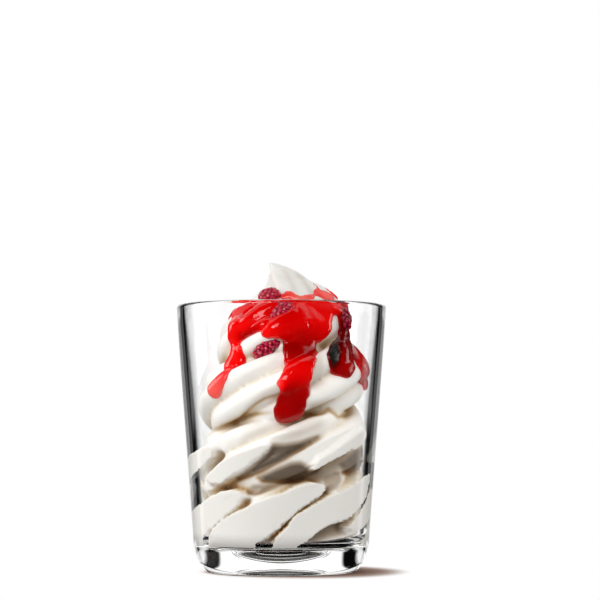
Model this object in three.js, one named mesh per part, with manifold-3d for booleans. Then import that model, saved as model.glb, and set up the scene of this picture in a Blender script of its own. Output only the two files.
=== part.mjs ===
// An ice cream sundae in its glass: white soft-serve ice cream piped as one ribbed rope that coils
// upward in a tapered tumbler and ends in a drawn-out peak, with a thick berry sauce poured over the
// top and four raspberries lying in the sauce.
// Millimetres, +Z up. The origin is on the axis of the glass, in the plane of its foot.
// Azimuth 0 faces the front (-Y) and grows towards the right (+X).
import * as THREE from 'three';
import { mergeVertices } from 'three/addons/utils/BufferGeometryUtils.js';
import Module from 'manifold-3d';

const wasm = await Module();
wasm.setup();

// ---- Driving dimensions ----
const GLASS_HEIGHT = 100;
const GLASS_SEGMENTS = 36;
const RIM_RADIUS = 39.7; // outer radius of the wall, carried up to the rim's top
const RIM_THICKNESS = 2.75; // the rim is a round bead of this width
const HEEL_RADIUS = 33.1; // outer radius where the round heel meets the straight wall
const HEEL_HEIGHT = 15;
const FOOT_OUTER = 26.2; // the flat ring that the glass stands on
const FOOT_INNER = 22.5;
const DOME_HEIGHT = 0.9; // the underside rises this far inside the foot ring
const DOME_SHARE = 0.875; // and has risen by this share of it half way in to the hollow
const PUNT_RADIUS = 13; // the round hollow pressed in the middle of the underside
const PUNT_EDGE = 1;
const PUNT_DEPTH = 1.1;
const FLOOR_Z = 10.2; // thickness of the base
const DIMPLE_RADIUS = 12.5; // a round dimple pressed in the floor inside
const DIMPLE_DEPTH = 2.6;
const FLOOR_FILLET = 5;
const WALL_REFERENCE_Z = 26.4; // the bore flares from here: radius, slope and flare
const BORE_RADIUS = 30.05;
const BORE_SLOPE = 0.0665;
const BORE_FLARE = 0.00038;
const BORE_STATIONS = [80, 60, 40]; // heights at which the bore's curve is cut into straight steps
const HEEL_STEPS = 7;
const BEAD_STEPS = 6;
const FILLET_STEPS = 4;
const DIMPLE_STEPS = 3;

const GAP = 0.3; // clear distance between pieces that touch
const SAME_POINT = 1e-4; // corners nearer than this are one

const ROPE_RIBS = 6; // ribs round the section of the piped rope
const RIB_DEPTH = 0.3; // depth of the grooves as a share of the rope's radius
const ROPE_TALL = 1.16; // the rope has settled to be this much taller than wide
const TURN = 360;
// The turns on their way up. `at` is the total azimuth; then the radius of the coil, the radius of
// the rope, the height of its middle, and how far the ribs are turned past their even lay.
const TURNS = [
  { at: -360, coil: 18.6, rope: 13, z: -3, lay: 10 },
  { at: 0, coil: 19.5, rope: 13, z: 21, lay: 10 },
  { at: 360, coil: 20.2, rope: 12.2, z: 45.3, lay: 20 },
  { at: 720, coil: 19.2, rope: 12.2, z: 68.7, lay: 7 },
  { at: 810, coil: 20, rope: 12.2, z: 73.8, lay: 9 },
  { at: 900, coil: 17.6, rope: 11.6, z: 78.4, lay: 11 },
  { at: 990, coil: 13.8, rope: 10.8, z: 83.2, lay: 13 },
  { at: 1080, coil: 13.5, rope: 11, z: 88, lay: 15 },
];
const FIRST_TURN = -1;
const LAST_TURN = 3;
const GROOVE_FLOOR = 0.6; // a turn's joint with the next is no deeper than this share of the rope
const SECTION_PASSES = 3; // rounds that settle where on the ribbed section a height falls

// The drawn-out peak: height, radius, and how far its middle leans to the right.
const PEAK = [
  { z: 86, radius: 20, lean: 0 },
  { z: 96, radius: 18.4, lean: 4 },
  { z: 99.5, radius: 17, lean: 5.8 },
  { z: 102.4, radius: 15.2, lean: 6.1 },
  { z: 105.8, radius: 12.6, lean: 5.5 },
  { z: 107.7, radius: 10.4, lean: 4.4 },
  { z: 109.5, radius: 7.9, lean: 2.6 },
  { z: 111.4, radius: 6, lean: 1 },
  { z: 113.3, radius: 4, lean: -0.4 },
  { z: 115.1, radius: 2.1, lean: -2.6 },
  { z: 116.4, radius: 0.5, lean: -5 },
];
const CLOSING_Z = 92; // from here the last turn closes in and becomes the peak
const CLOSED_Z = 99;
const PEAK_RIBS = 5;
const PEAK_RIB_DEPTH = 0.07;
const PEAK_TWIST = 4.5; // degrees for each millimetre of height
const RIB_WIND = 3.6; // the mesh columns follow the ribs: degrees for each millimetre of height
const TIP_LENGTH = 0.4;
const ICE_COLUMNS = 39;
const ICE_ROWS = 34;

const SAUCE_THICKNESS = 1.9; // of the pool over the top
const SAUCE_TOP_Z = 102.5; // the peak stands clear above this
const SAUCE_SKIRT_Z = 89.5; // lower edge of the pool between the runs
const SAUCE_SKIRT_WAVE = 1.8;
const SAUCE_SKIRT_WAVES = 5;
const SAUCE_EDGE = 2.2; // the pool thins out to its edge over this distance
const SAUCE_SUNK = -3; // beyond its edge the layer is carried on inside the ice cream, then cut off
const SAUCE_COLUMNS = 48;
const SAUCE_ROWS = 17;
const SAUCE_LOW_Z = 54;
// Each run of sauce down the side, from its upper end to the drop at its lower end: azimuth, height
// and half width in millimetres of both ends, and its thickness at the drop.
const RUNS = [
  { from: { azimuth: -46, z: 92, half: 4.5 }, to: { azimuth: -51, z: 68, half: 3.6 }, thick: 2.2 },
  { from: { azimuth: -40, z: 90, half: 4 }, to: { azimuth: -40, z: 78.5, half: 2.6 }, thick: 1.8 },
  { from: { azimuth: 18, z: 88, half: 7 }, to: { azimuth: 6, z: 60, half: 5.6 }, thick: 2.8 },
  { from: { azimuth: 75, z: 94, half: 3.8 }, to: { azimuth: 46, z: 76, half: 4.6 }, thick: 2.6 },
  { from: { azimuth: 80, z: 84, half: 3 }, to: { azimuth: 80, z: 71, half: 3 }, thick: 2.2 },
  { from: { azimuth: 128, z: 92, half: 4.5 }, to: { azimuth: 133, z: 80, half: 3.8 }, thick: 2.4 },
  { from: { azimuth: 180, z: 92, half: 5.6 }, to: { azimuth: 188, z: 67, half: 4.8 }, thick: 2.6 },
  { from: { azimuth: 245, z: 92, half: 4.4 }, to: { azimuth: 242, z: 80, half: 3.6 }, thick: 2.2 },
];
const RUN_TOP_SHARE = 0.75; // a run is this much as thick at its upper end as at its drop
const RUN_RADIUS = 28; // azimuths become distances at this radius

// The raspberries: the middle of each, its length and width, the turn of its long axis about +Z from
// +X, and its rise out of the horizontal, in degrees.
const BERRIES = [
  { x: -4.4, y: -12.6, z: 102.6, length: 9, width: 6.8, turn: 6, rise: 7 },
  { x: 0, y: -20.6, z: 95.4, length: 10, width: 5.8, turn: 10, rise: 34 },
  { x: -5.4, y: -21.6, z: 82.8, length: 12, width: 6.2, turn: 7, rise: 37 },
  { x: 23.4, y: -7.6, z: 93.8, length: 7.6, width: 5.6, turn: -45, rise: -60 },
];
const DRUPELET_ROWS = 10; // from end to end
const DRUPELETS_ROUND = 9;
const DRUPELET_RISE = 0.09; // as a share of the berry's radius
const BERRY_DETAIL = 2;

// ---- Small helpers ----
const radians = (degrees) => (degrees * Math.PI) / 180;
const clamp = (value, low, high) => Math.min(high, Math.max(low, value));
/** An angle in degrees brought between minus and plus half a turn. */
const wrapped = (degrees) => degrees - TURN * Math.round(degrees / TURN);

/** A value at a place between the rows of a list sorted by `key`. */
function eased(rows, key, at, name) {
  const last = rows.length - 1;
  if (at <= rows[0][key]) return rows[0][name];
  if (at >= rows[last][key]) return rows[last][name];
  const upper = rows.findIndex((row) => row[key] > at);
  const a = rows[upper - 1];
  const b = rows[upper];
  const share = (at - a[key]) / (b[key] - a[key]);
  return a[name] + (b[name] - a[name]) * share;
}

/** The triangles of a closed geometry as a solid that can be cut. */
function solidOf(geometry) {
  const bare = geometry.clone();
  bare.deleteAttribute('normal');
  bare.deleteAttribute('uv');
  const merged = mergeVertices(bare, SAME_POINT);
  const vertProperties = new Float32Array(merged.attributes.position.array);
  const triVerts = new Uint32Array(merged.index.array);
  return new wasm.Manifold(new wasm.Mesh({ numProp: 3, vertProperties, triVerts }));
}

/** The largest body of a solid, as a geometry. */
function geometryOf(solid) {
  const bodies = solid.decompose();
  const largest = bodies.reduce((a, b) => (b.volume() > a.volume() ? b : a));
  const mesh = largest.getMesh();
  const geometry = new THREE.BufferGeometry();
  geometry.setAttribute('position', new THREE.BufferAttribute(mesh.vertProperties, 3));
  geometry.setIndex(new THREE.BufferAttribute(mesh.triVerts, 1));
  geometry.computeVertexNormals();
  return geometry;
}

/** A lathe about +Z from a profile of [radius, height] pairs. */
function lathe(profile, segments) {
  const points = profile.map(([radius, z]) => new THREE.Vector2(Math.max(radius, 0), z));
  const geometry = new THREE.LatheGeometry(points, segments);
  geometry.rotateX(Math.PI / 2);
  return geometry;
}

/** Moves every vertex of a geometry to where `place` puts it, given azimuth in degrees and the point. */
function reshape(geometry, place) {
  const position = geometry.attributes.position;
  const point = new THREE.Vector3();
  for (let i = 0; i < position.count; i += 1) {
    point.fromBufferAttribute(position, i);
    const azimuth = THREE.MathUtils.radToDeg(Math.atan2(point.x, -point.y));
    place(point, azimuth);
    position.setXYZ(i, point.x, point.y, point.z);
  }
  return geometry;
}

// ---- The glass ----
/** Radius of the bore at a height, with the round corner where the wall meets the floor. */
function boreRadius(z) {
  const above = z - WALL_REFERENCE_Z;
  const wall = BORE_RADIUS + BORE_SLOPE * above + BORE_FLARE * above * above;
  const drop = FLOOR_FILLET - (z - FLOOR_Z);
  if (drop <= 0) return wall;
  return wall - FLOOR_FILLET + Math.sqrt(Math.max(0, FLOOR_FILLET ** 2 - drop ** 2));
}

function outerRadius(z) {
  return HEEL_RADIUS + ((RIM_RADIUS - HEEL_RADIUS) * (z - HEEL_HEIGHT)) / (GLASS_HEIGHT - HEEL_HEIGHT);
}

function glassProfile() {
  const profile = [[0, PUNT_DEPTH + DOME_HEIGHT]];
  profile.push([PUNT_RADIUS - PUNT_EDGE, PUNT_DEPTH + DOME_HEIGHT]);
  profile.push([PUNT_RADIUS, DOME_HEIGHT]);
  profile.push([(PUNT_RADIUS + FOOT_INNER) / 2, DOME_HEIGHT * DOME_SHARE]);
  profile.push([FOOT_INNER, 0]);
  for (let i = 0; i <= HEEL_STEPS; i += 1) {
    const turn = (Math.PI / 2) * (i / HEEL_STEPS);
    const radius = FOOT_OUTER + (HEEL_RADIUS - FOOT_OUTER) * Math.sin(turn);
    profile.push([radius, HEEL_HEIGHT * (1 - Math.cos(turn))]);
  }
  const bead = RIM_THICKNESS / 2;
  const beadZ = GLASS_HEIGHT - bead;
  const beadMiddle = (outerRadius(beadZ) + boreRadius(beadZ)) / 2;
  const beadHalf = (outerRadius(beadZ) - boreRadius(beadZ)) / 2;
  for (let i = 0; i <= BEAD_STEPS; i += 1) {
    const turn = Math.PI * (i / BEAD_STEPS);
    profile.push([beadMiddle + beadHalf * Math.cos(turn), beadZ + bead * Math.sin(turn)]);
  }
  for (const z of [...BORE_STATIONS, FLOOR_Z + FLOOR_FILLET]) profile.push([boreRadius(z), z]);
  for (let i = 1; i <= FILLET_STEPS; i += 1) {
    const z = FLOOR_Z + FLOOR_FILLET * (1 - Math.sin((Math.PI / 2) * (i / FILLET_STEPS)));
    profile.push([boreRadius(z), z]);
  }
  for (let i = 0; i <= DIMPLE_STEPS; i += 1) {
    const turn = (Math.PI / 2) * (i / DIMPLE_STEPS);
    profile.push([DIMPLE_RADIUS * Math.cos(turn), FLOOR_Z - DIMPLE_DEPTH * Math.sin(turn)]);
  }
  return profile;
}

// ---- The ice cream ----
/** The rope where it passes a total azimuth: radius of its coil, its radius, its height, its ribs. */
function ropeAt(totalAzimuth) {
  return {
    coil: eased(TURNS, 'at', totalAzimuth, 'coil'),
    rope: eased(TURNS, 'at', totalAzimuth, 'rope'),
    z: eased(TURNS, 'at', totalAzimuth, 'z'),
    ribs: totalAzimuth + eased(TURNS, 'at', totalAzimuth, 'lay'),
  };
}

/** Radius of the ribbed section at an angle from the outward direction, in degrees. */
function sectionRadius(rope, angle) {
  const wave = Math.abs(Math.cos(radians(((angle - rope.ribs) * ROPE_RIBS) / 2)));
  return rope.rope * (1 - RIB_DEPTH * (1 - wave));
}

/** How far the rope's outside lies from the axis at an azimuth and a height. */
function coilRadius(azimuth, z) {
  let reach = 0;
  for (let turn = FIRST_TURN; turn <= LAST_TURN; turn += 1) {
    const rope = ropeAt(azimuth + turn * TURN);
    const rise = (z - rope.z) / ROPE_TALL;
    if (Math.abs(rise) > rope.rope) continue;
    let angle = Math.asin(rise / rope.rope);
    for (let pass = 0; pass < SECTION_PASSES; pass += 1) {
      const radius = sectionRadius(rope, THREE.MathUtils.radToDeg(angle));
      angle = Math.asin(clamp(rise / radius, -1, 1));
    }
    const radius = sectionRadius(rope, THREE.MathUtils.radToDeg(angle));
    const outside = rope.coil + Math.max(radius * Math.cos(angle), rope.rope * GROOVE_FLOOR);
    reach = Math.max(reach, outside);
  }
  return reach;
}

function peakRadius(azimuth, z) {
  const ribs = Math.abs(Math.cos(radians(((azimuth - z * PEAK_TWIST) * PEAK_RIBS) / 2)));
  return eased(PEAK, 'z', z, 'radius') * (1 - PEAK_RIB_DEPTH * (1 - ribs));
}

/** Puts a point on the ice cream's surface, pushed out by `grow`, and kept clear of the glass. */
function onIceCream(point, azimuth, z, grow) {
  const peak = peakRadius(azimuth, z);
  const blend = clamp((z - CLOSING_Z) / (CLOSED_Z - CLOSING_Z), 0, 1);
  const coil = coilRadius(azimuth, z);
  const free = coil * (1 - blend) + peak * blend + grow;
  const held = z < GLASS_HEIGHT ? boreRadius(Math.max(z, FLOOR_Z)) - GAP + Math.min(grow, 0) : Infinity;
  const radius = Math.min(free, held);
  const lean = eased(PEAK, 'z', z, 'lean');
  point.set(radius * Math.sin(radians(azimuth)) + lean, -radius * Math.cos(radians(azimuth)), z);
}

/** A closed body about the axis with its mesh columns wound by `wind` degrees a millimetre. */
function woundBody({ low, high, tip, rows, columns, wind, grow }) {
  const profile = [[0, low]];
  for (let row = 0; row <= rows; row += 1) profile.push([1, low + ((high - low) * row) / rows]);
  profile.push([0, tip]);
  return reshape(lathe(profile, columns), (point, column) => {
    const onAxis = Math.hypot(point.x, point.y) < GAP;
    if (onAxis) {
      point.x = point.z > GLASS_HEIGHT ? eased(PEAK, 'z', point.z, 'lean') : 0;
      return;
    }
    const azimuth = wrapped(column + wind * point.z);
    onIceCream(point, azimuth, point.z, grow(azimuth, point.z));
  });
}

function iceCreamGeometry(grow) {
  return woundBody({
    low: FLOOR_Z + GAP,
    high: PEAK[PEAK.length - 1].z - TIP_LENGTH,
    tip: PEAK[PEAK.length - 1].z + grow,
    rows: ICE_ROWS,
    columns: ICE_COLUMNS,
    wind: RIB_WIND,
    grow: () => grow,
  });
}

// ---- The sauce ----
/** Thickness of one run at an azimuth and a height; below zero outside its outline. */
function runThickness(run, azimuth, z) {
  const across = (degrees) => radians(wrapped(degrees - run.from.azimuth)) * RUN_RADIUS;
  const length = { x: across(run.to.azimuth), y: run.to.z - run.from.z };
  const away = { x: across(azimuth), y: z - run.from.z };
  const share = (away.x * length.x + away.y * length.y) / (length.x ** 2 + length.y ** 2);
  const along = clamp(share, 0, 1);
  const distance = Math.hypot(away.x - along * length.x, away.y - along * length.y);
  const half = run.from.half + (run.to.half - run.from.half) * along;
  const thick = run.thick * (RUN_TOP_SHARE + (1 - RUN_TOP_SHARE) * along);
  return thick * (1 - (distance / half) ** 2);
}

/** Thickness of the sauce at an azimuth and a height; below zero where there is none. */
function sauceThickness(azimuth, z) {
  const skirt = SAUCE_SKIRT_Z + SAUCE_SKIRT_WAVE * Math.sin(radians(azimuth * SAUCE_SKIRT_WAVES));
  const inside = Math.min(z - skirt, SAUCE_TOP_Z - z);
  const pool = SAUCE_THICKNESS * Math.tanh(inside / SAUCE_EDGE);
  const runs = RUNS.map((run) => runThickness(run, azimuth, z));
  return Math.max(pool, ...runs, SAUCE_SUNK);
}

/** A body as thick as the ice cream and its sauce together. */
function sauceGeometry() {
  return woundBody({
    low: SAUCE_LOW_Z,
    high: SAUCE_TOP_Z + SAUCE_EDGE,
    tip: SAUCE_TOP_Z + SAUCE_EDGE,
    rows: SAUCE_ROWS,
    columns: SAUCE_COLUMNS,
    wind: 0,
    grow: (azimuth, z) => GAP + sauceThickness(azimuth, z),
  });
}

// ---- The raspberries ----
function berryGeometry(berry, grow) {
  const geometry = new THREE.IcosahedronGeometry(1, BERRY_DETAIL);
  const position = geometry.attributes.position;
  const point = new THREE.Vector3();
  for (let i = 0; i < position.count; i += 1) {
    point.fromBufferAttribute(position, i).normalize();
    const round = Math.atan2(point.y, point.z) * DRUPELETS_ROUND;
    const along = Math.acos(clamp(point.x, -1, 1)) * DRUPELET_ROWS;
    const fade = 1 - point.x ** 4;
    const rise = 1 + DRUPELET_RISE * fade * Math.cos(round) * Math.cos(along);
    point.multiplyScalar(rise);
    const half = new THREE.Vector3(berry.length / 2, berry.width / 2, berry.width / 2);
    point.multiply(half.addScalar(grow));
    position.setXYZ(i, point.x, point.y, point.z);
  }
  geometry.rotateY(radians(-berry.rise));
  geometry.rotateZ(radians(berry.turn));
  geometry.translate(berry.x, berry.y, berry.z);
  return geometry;
}

// ---- Materials ----
const clearGlass = new THREE.MeshStandardMaterial({ color: 0xdfe6ea, roughness: 0.04, metalness: 0 });
const softServe = new THREE.MeshStandardMaterial({ color: 0xf6f2ea, roughness: 0.5, metalness: 0 });
const berrySauce = new THREE.MeshStandardMaterial({ color: 0xd0101a, roughness: 0.12, metalness: 0 });
const raspberry = new THREE.MeshStandardMaterial({ color: 0xa00a30, roughness: 0.3, metalness: 0 });

// ---- Assembly ----
const sundae = new THREE.Group();

function addPiece(name, geometry, material) {
  const piece = new THREE.Mesh(geometry, material);
  piece.name = name;
  sundae.add(piece);
}

let iceCream = solidOf(iceCreamGeometry(0));
let sauce = solidOf(sauceGeometry()).subtract(solidOf(iceCreamGeometry(GAP)));
BERRIES.forEach((berry, i) => {
  const hollow = solidOf(berryGeometry(berry, GAP));
  iceCream = iceCream.subtract(hollow);
  sauce = sauce.subtract(hollow);
  addPiece(`berry_${i + 1}`, geometryOf(solidOf(berryGeometry(berry, 0))), raspberry);
});

addPiece('glass', lathe(glassProfile(), GLASS_SEGMENTS), clearGlass);
addPiece('ice_cream', geometryOf(iceCream), softServe);
addPiece('sauce', geometryOf(sauce), berrySauce);

export default sundae;
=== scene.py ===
import math

import bmesh
import bpy
import numpy as np
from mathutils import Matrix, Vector, kdtree, noise
from mathutils.bvhtree import BVHTree


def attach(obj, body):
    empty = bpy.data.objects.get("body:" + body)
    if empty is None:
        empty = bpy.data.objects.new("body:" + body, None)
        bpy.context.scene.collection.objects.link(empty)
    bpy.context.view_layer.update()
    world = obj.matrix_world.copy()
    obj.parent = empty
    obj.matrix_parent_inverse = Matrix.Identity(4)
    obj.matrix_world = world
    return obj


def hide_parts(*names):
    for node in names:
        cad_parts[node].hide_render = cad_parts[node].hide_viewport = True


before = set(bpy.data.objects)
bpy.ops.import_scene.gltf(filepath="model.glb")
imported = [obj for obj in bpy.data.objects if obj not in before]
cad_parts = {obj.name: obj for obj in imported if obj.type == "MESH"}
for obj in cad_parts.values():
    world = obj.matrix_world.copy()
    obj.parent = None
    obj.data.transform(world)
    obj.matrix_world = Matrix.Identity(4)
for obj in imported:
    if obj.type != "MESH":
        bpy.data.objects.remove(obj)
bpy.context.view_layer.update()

MM = 0.001

# ---- The glass ----
# A clear pressed tumbler: one wall that tapers down and grows thicker, a round fire-polished rim,
# a thick base with a soft heel, a narrow ring to stand on and a shallow round hollow underneath.
GLASS_HEIGHT = 100.0
RIM_RADIUS = 39.7
RIM_BEAD = 2.75  # the rim ends in a round bead of this width
HEEL_RADIUS, HEEL_HEIGHT = 33.1, 15.0
FOOT_OUTER, FOOT_INNER = 26.2, 22.5
DOME_HEIGHT = 0.9  # how far the underside rises inside the foot ring
PUNT_RADIUS, PUNT_DEPTH, PUNT_EDGE = 13.0, 1.1, 1.0
DIMPLE_RADIUS, DIMPLE_DEPTH = 12.5, 2.6  # a round dimple pressed in the floor inside
FLOOR_Z, FLOOR_FILLET = 10.2, 5.0
# The bore flares from this height up: its radius there, its slope and its flare
WALL_REFERENCE_Z = 26.4
BORE_RADIUS, BORE_SLOPE, BORE_FLARE = 30.05, 0.0665, 0.00038
ROUND_STEPS = 192
PUNT_STEPS, DOME_STEPS, HEEL_STEPS, BEAD_STEPS, FLOOR_STEPS = 6, 5, 16, 12, 12
OUTER_ROWS, BORE_ROWS = range(20, 98, 6), range(94, 16, -6)  # heights of the mesh's rows
HALF_TURN, QUARTER_TURN = math.pi, math.pi / 2
# What each face of the glass passes of the lamplight: more than real glass does, so that what it
# holds is as light as what stands above the rim
LAMPLIGHT = (1.2, 1.2, 1.2)


def outer_radius(z):
    return HEEL_RADIUS + (RIM_RADIUS - HEEL_RADIUS) * (z - HEEL_HEIGHT) / (GLASS_HEIGHT - HEEL_HEIGHT)


def bore_radius(z):
    """Radius of the glass's inside at a height or many, down to the round corner at its floor."""
    above = z - WALL_REFERENCE_Z
    wall = BORE_RADIUS + BORE_SLOPE * above + BORE_FLARE * above * above
    drop = np.clip(FLOOR_FILLET - (z - FLOOR_Z), 0, FLOOR_FILLET)
    return wall - FLOOR_FILLET + np.sqrt(FLOOR_FILLET**2 - drop**2)


def angles(turn, steps):
    """The angles of this many even steps, from 0 up to the whole turn."""
    return [turn * step / steps for step in range(steps + 1)]


def glass_profile():
    """The outline from the middle of the underside, round the foot and the rim, to the inner floor."""
    points = [(0.0, PUNT_DEPTH + DOME_HEIGHT)]
    for angle in angles(HALF_TURN, PUNT_STEPS):
        share = (1 + math.cos(angle)) / 2
        points.append((PUNT_RADIUS - PUNT_EDGE * share, DOME_HEIGHT + PUNT_DEPTH * share))
    for step in range(1, DOME_STEPS + 1):
        share = step / DOME_STEPS
        radius = PUNT_RADIUS + (FOOT_INNER - PUNT_RADIUS) * share
        points.append((radius, DOME_HEIGHT * (1 - share**3)))
    for angle in angles(QUARTER_TURN, HEEL_STEPS):
        radius = FOOT_OUTER + (HEEL_RADIUS - FOOT_OUTER) * math.sin(angle)
        points.append((radius, HEEL_HEIGHT * (1 - math.cos(angle))))
    points += [(outer_radius(z), z) for z in OUTER_ROWS]
    bead_z = GLASS_HEIGHT - RIM_BEAD / 2
    middle = (outer_radius(bead_z) + bore_radius(bead_z)) / 2
    half = (outer_radius(bead_z) - bore_radius(bead_z)) / 2
    for angle in angles(HALF_TURN, BEAD_STEPS):
        points.append((middle + half * math.cos(angle), bead_z + RIM_BEAD / 2 * math.sin(angle)))
    points += [(bore_radius(z), z) for z in BORE_ROWS]
    for angle in angles(QUARTER_TURN, FLOOR_STEPS):
        z = FLOOR_Z + FLOOR_FILLET * (1 - math.sin(angle))
        points.append((bore_radius(z), z))
    for angle in angles(QUARTER_TURN, FLOOR_STEPS):
        points.append((DIMPLE_RADIUS * math.cos(angle), FLOOR_Z - DIMPLE_DEPTH * math.sin(angle)))
    return points


def spun_body(points, steps):
    """A closed body turned about the upright axis from a profile in millimetres."""
    body = bmesh.new()
    verts = [body.verts.new((radius * MM, 0, z * MM)) for radius, z in points]
    edges = [body.edges.new(pair) for pair in zip(verts, verts[1:])]
    bmesh.ops.spin(
        body, geom=verts + edges, cent=(0, 0, 0), axis=(0, 0, 1), angle=math.tau, steps=steps, use_merge=True
    )
    bmesh.ops.remove_doubles(body, verts=body.verts, dist=1e-6)
    bmesh.ops.recalc_face_normals(body, faces=body.faces)
    return body


def finished(name, body, material):
    """Makes a bmesh a smooth piece with its material."""
    mesh = bpy.data.meshes.new(name)
    body.to_mesh(mesh)
    body.free()
    mesh.shade_smooth()
    mesh.materials.append(material)
    piece = bpy.data.objects.new(name, mesh)
    bpy.context.scene.collection.objects.link(piece)
    return piece


def feed(tree, socket, value):
    """Puts a number, a colour or the output of another node into a socket."""
    if isinstance(value, bpy.types.NodeSocket):
        tree.links.new(value, socket)
    else:
        socket.default_value = (*value, 1) if socket.type == "RGBA" else value


def add_node(tree, kind, inputs=None, **settings):
    """A node with its settings, and with what goes into each of its sockets by name or number."""
    node = tree.nodes.new("ShaderNode" + kind)
    for setting, value in settings.items():
        setattr(node, setting, value)
    for socket, value in (inputs or {}).items():
        feed(tree, node.inputs[socket], value)
    return node


def maths(tree, operation, *values):
    return add_node(tree, "Math", dict(enumerate(values)), operation=operation).outputs[0]


def new_material(name, look):
    """A material, its node tree and its shader, which is given this look."""
    material = bpy.data.materials.new(name)
    material.use_nodes = True
    tree = material.node_tree
    shader = tree.nodes["Principled BSDF"]
    for socket, value in look.items():
        feed(tree, shader.inputs[socket], value)
    return material, tree, shader


def clear_glass():
    """Bends what is seen through it, and lets lamplight straight through to what it holds."""
    material, tree, shader = new_material("clear_glass", {
        "Base Color": (0.995, 0.995, 0.995), "Roughness": 0.0, "IOR": 1.5, "Transmission Weight": 1.0,
    })
    path = add_node(tree, "LightPath").outputs
    lamplight = maths(tree, "MAXIMUM", path["Is Shadow Ray"], path["Is Diffuse Ray"])
    let_through = add_node(tree, "BsdfTransparent", {"Color": LAMPLIGHT})
    either = add_node(tree, "MixShader", {0: lamplight, 1: shader.outputs[0], 2: let_through.outputs[0]})
    feed(tree, tree.nodes["Material Output"].inputs["Surface"], either.outputs[0])
    return material


tumbler = finished("tumbler", spun_body(glass_profile(), ROUND_STEPS), clear_glass())
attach(tumbler, "root")
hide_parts("glass")

# ---- The ice cream ----
# White soft-serve, pressed through a star nozzle as one soft ribbed rope and coiled up inside the
# glass, each turn settling on the one below, then pulled away upward to leave a leaning peak.
ROPE_RIBS = 6
RIB_DEPTH = 0.34  # depth of the grooves as a share of the rope's radius
RIB_ROUNDNESS = 0.7  # the further below 1, the fuller the ribs and the narrower the grooves
ROPE_TALL = 1.16  # how much taller than wide the rope has settled
ROPE_SIDES = 72
ROPE_START, ROPE_STEP = -300, 4
# The turns on their way up: total azimuth, coil radius, rope radius, height, lay of the ribs
TURNS = (
    (-360, 18.6, 13, -3, 10),
    (0, 19.5, 13, 21, 10),
    (360, 20.2, 12.2, 45.3, 20),
    (720, 19.2, 12.2, 68.7, 7),
    (810, 20, 12.2, 73.8, 9),
    (900, 17.6, 11.6, 78.4, 11),
    (990, 13.8, 10.8, 83.2, 13),
    (1080, 13.5, 11, 88, 15),
)
# The tail of the rope as it closes over the top: x, y, z of its middle, and its radius
TAIL = (
    (14.4, 0.5, 92.6, 11),
    (1.5, 10, 96, 10),
    (-4, 1, 98, 8.4),
    (2.5, -5, 99.5, 8.6),
    (9, -1, 100.5, 7.8),
)
TAIL_STEPS = 14  # from each place to the next
TAIL_RIBS_TURN = 60
TAIL_RIB_DEPTH = 0.16
TAIL_ROUND_BY = 2  # the place from which its section is round again
# The peak it is pulled out into: height, radius, lean to the right and turn of its soft flutes
PEAK = (
    (90, 19, 3, 0),
    (96, 18.4, 4.5, 30),
    (99.5, 17, 5.8, 55),
    (102.4, 15.2, 6.1, 80),
    (105.8, 12.6, 5.5, 100),
    (107.7, 10.4, 4.4, 112),
    (109.5, 7.9, 2.6, 125),
    (111.4, 6.6, 1.5, 140),
    (113.3, 4.8, 0.4, 155),
    (115.1, 2.7, -2, 170),
    (116.4, 0.35, -5, 185),
)
PEAK_STEPS = 8  # from each height to the next
FLUTE_DEPTH = 0.13
CORE_RADIUS, CORE_TAPER, CORE_TOP, CORE_SIDES = 24.0, 0.5, 80.0, 48  # what fills the coil
SAG_AZIMUTH, SAG_OUT, SAG_HEIGHT, SAG_RADIUS = 86, 23.0, 38.5, 7.6  # where the rope has sagged
ICE_VOXEL = 0.62
INTO_WALL = 0.15  # how far the pressed folds reach into the glass, so that no air shows between
UNDERSIDE_LIFT = 0.4  # the folds hold on the wall, just clear of the glass's floor
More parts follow.
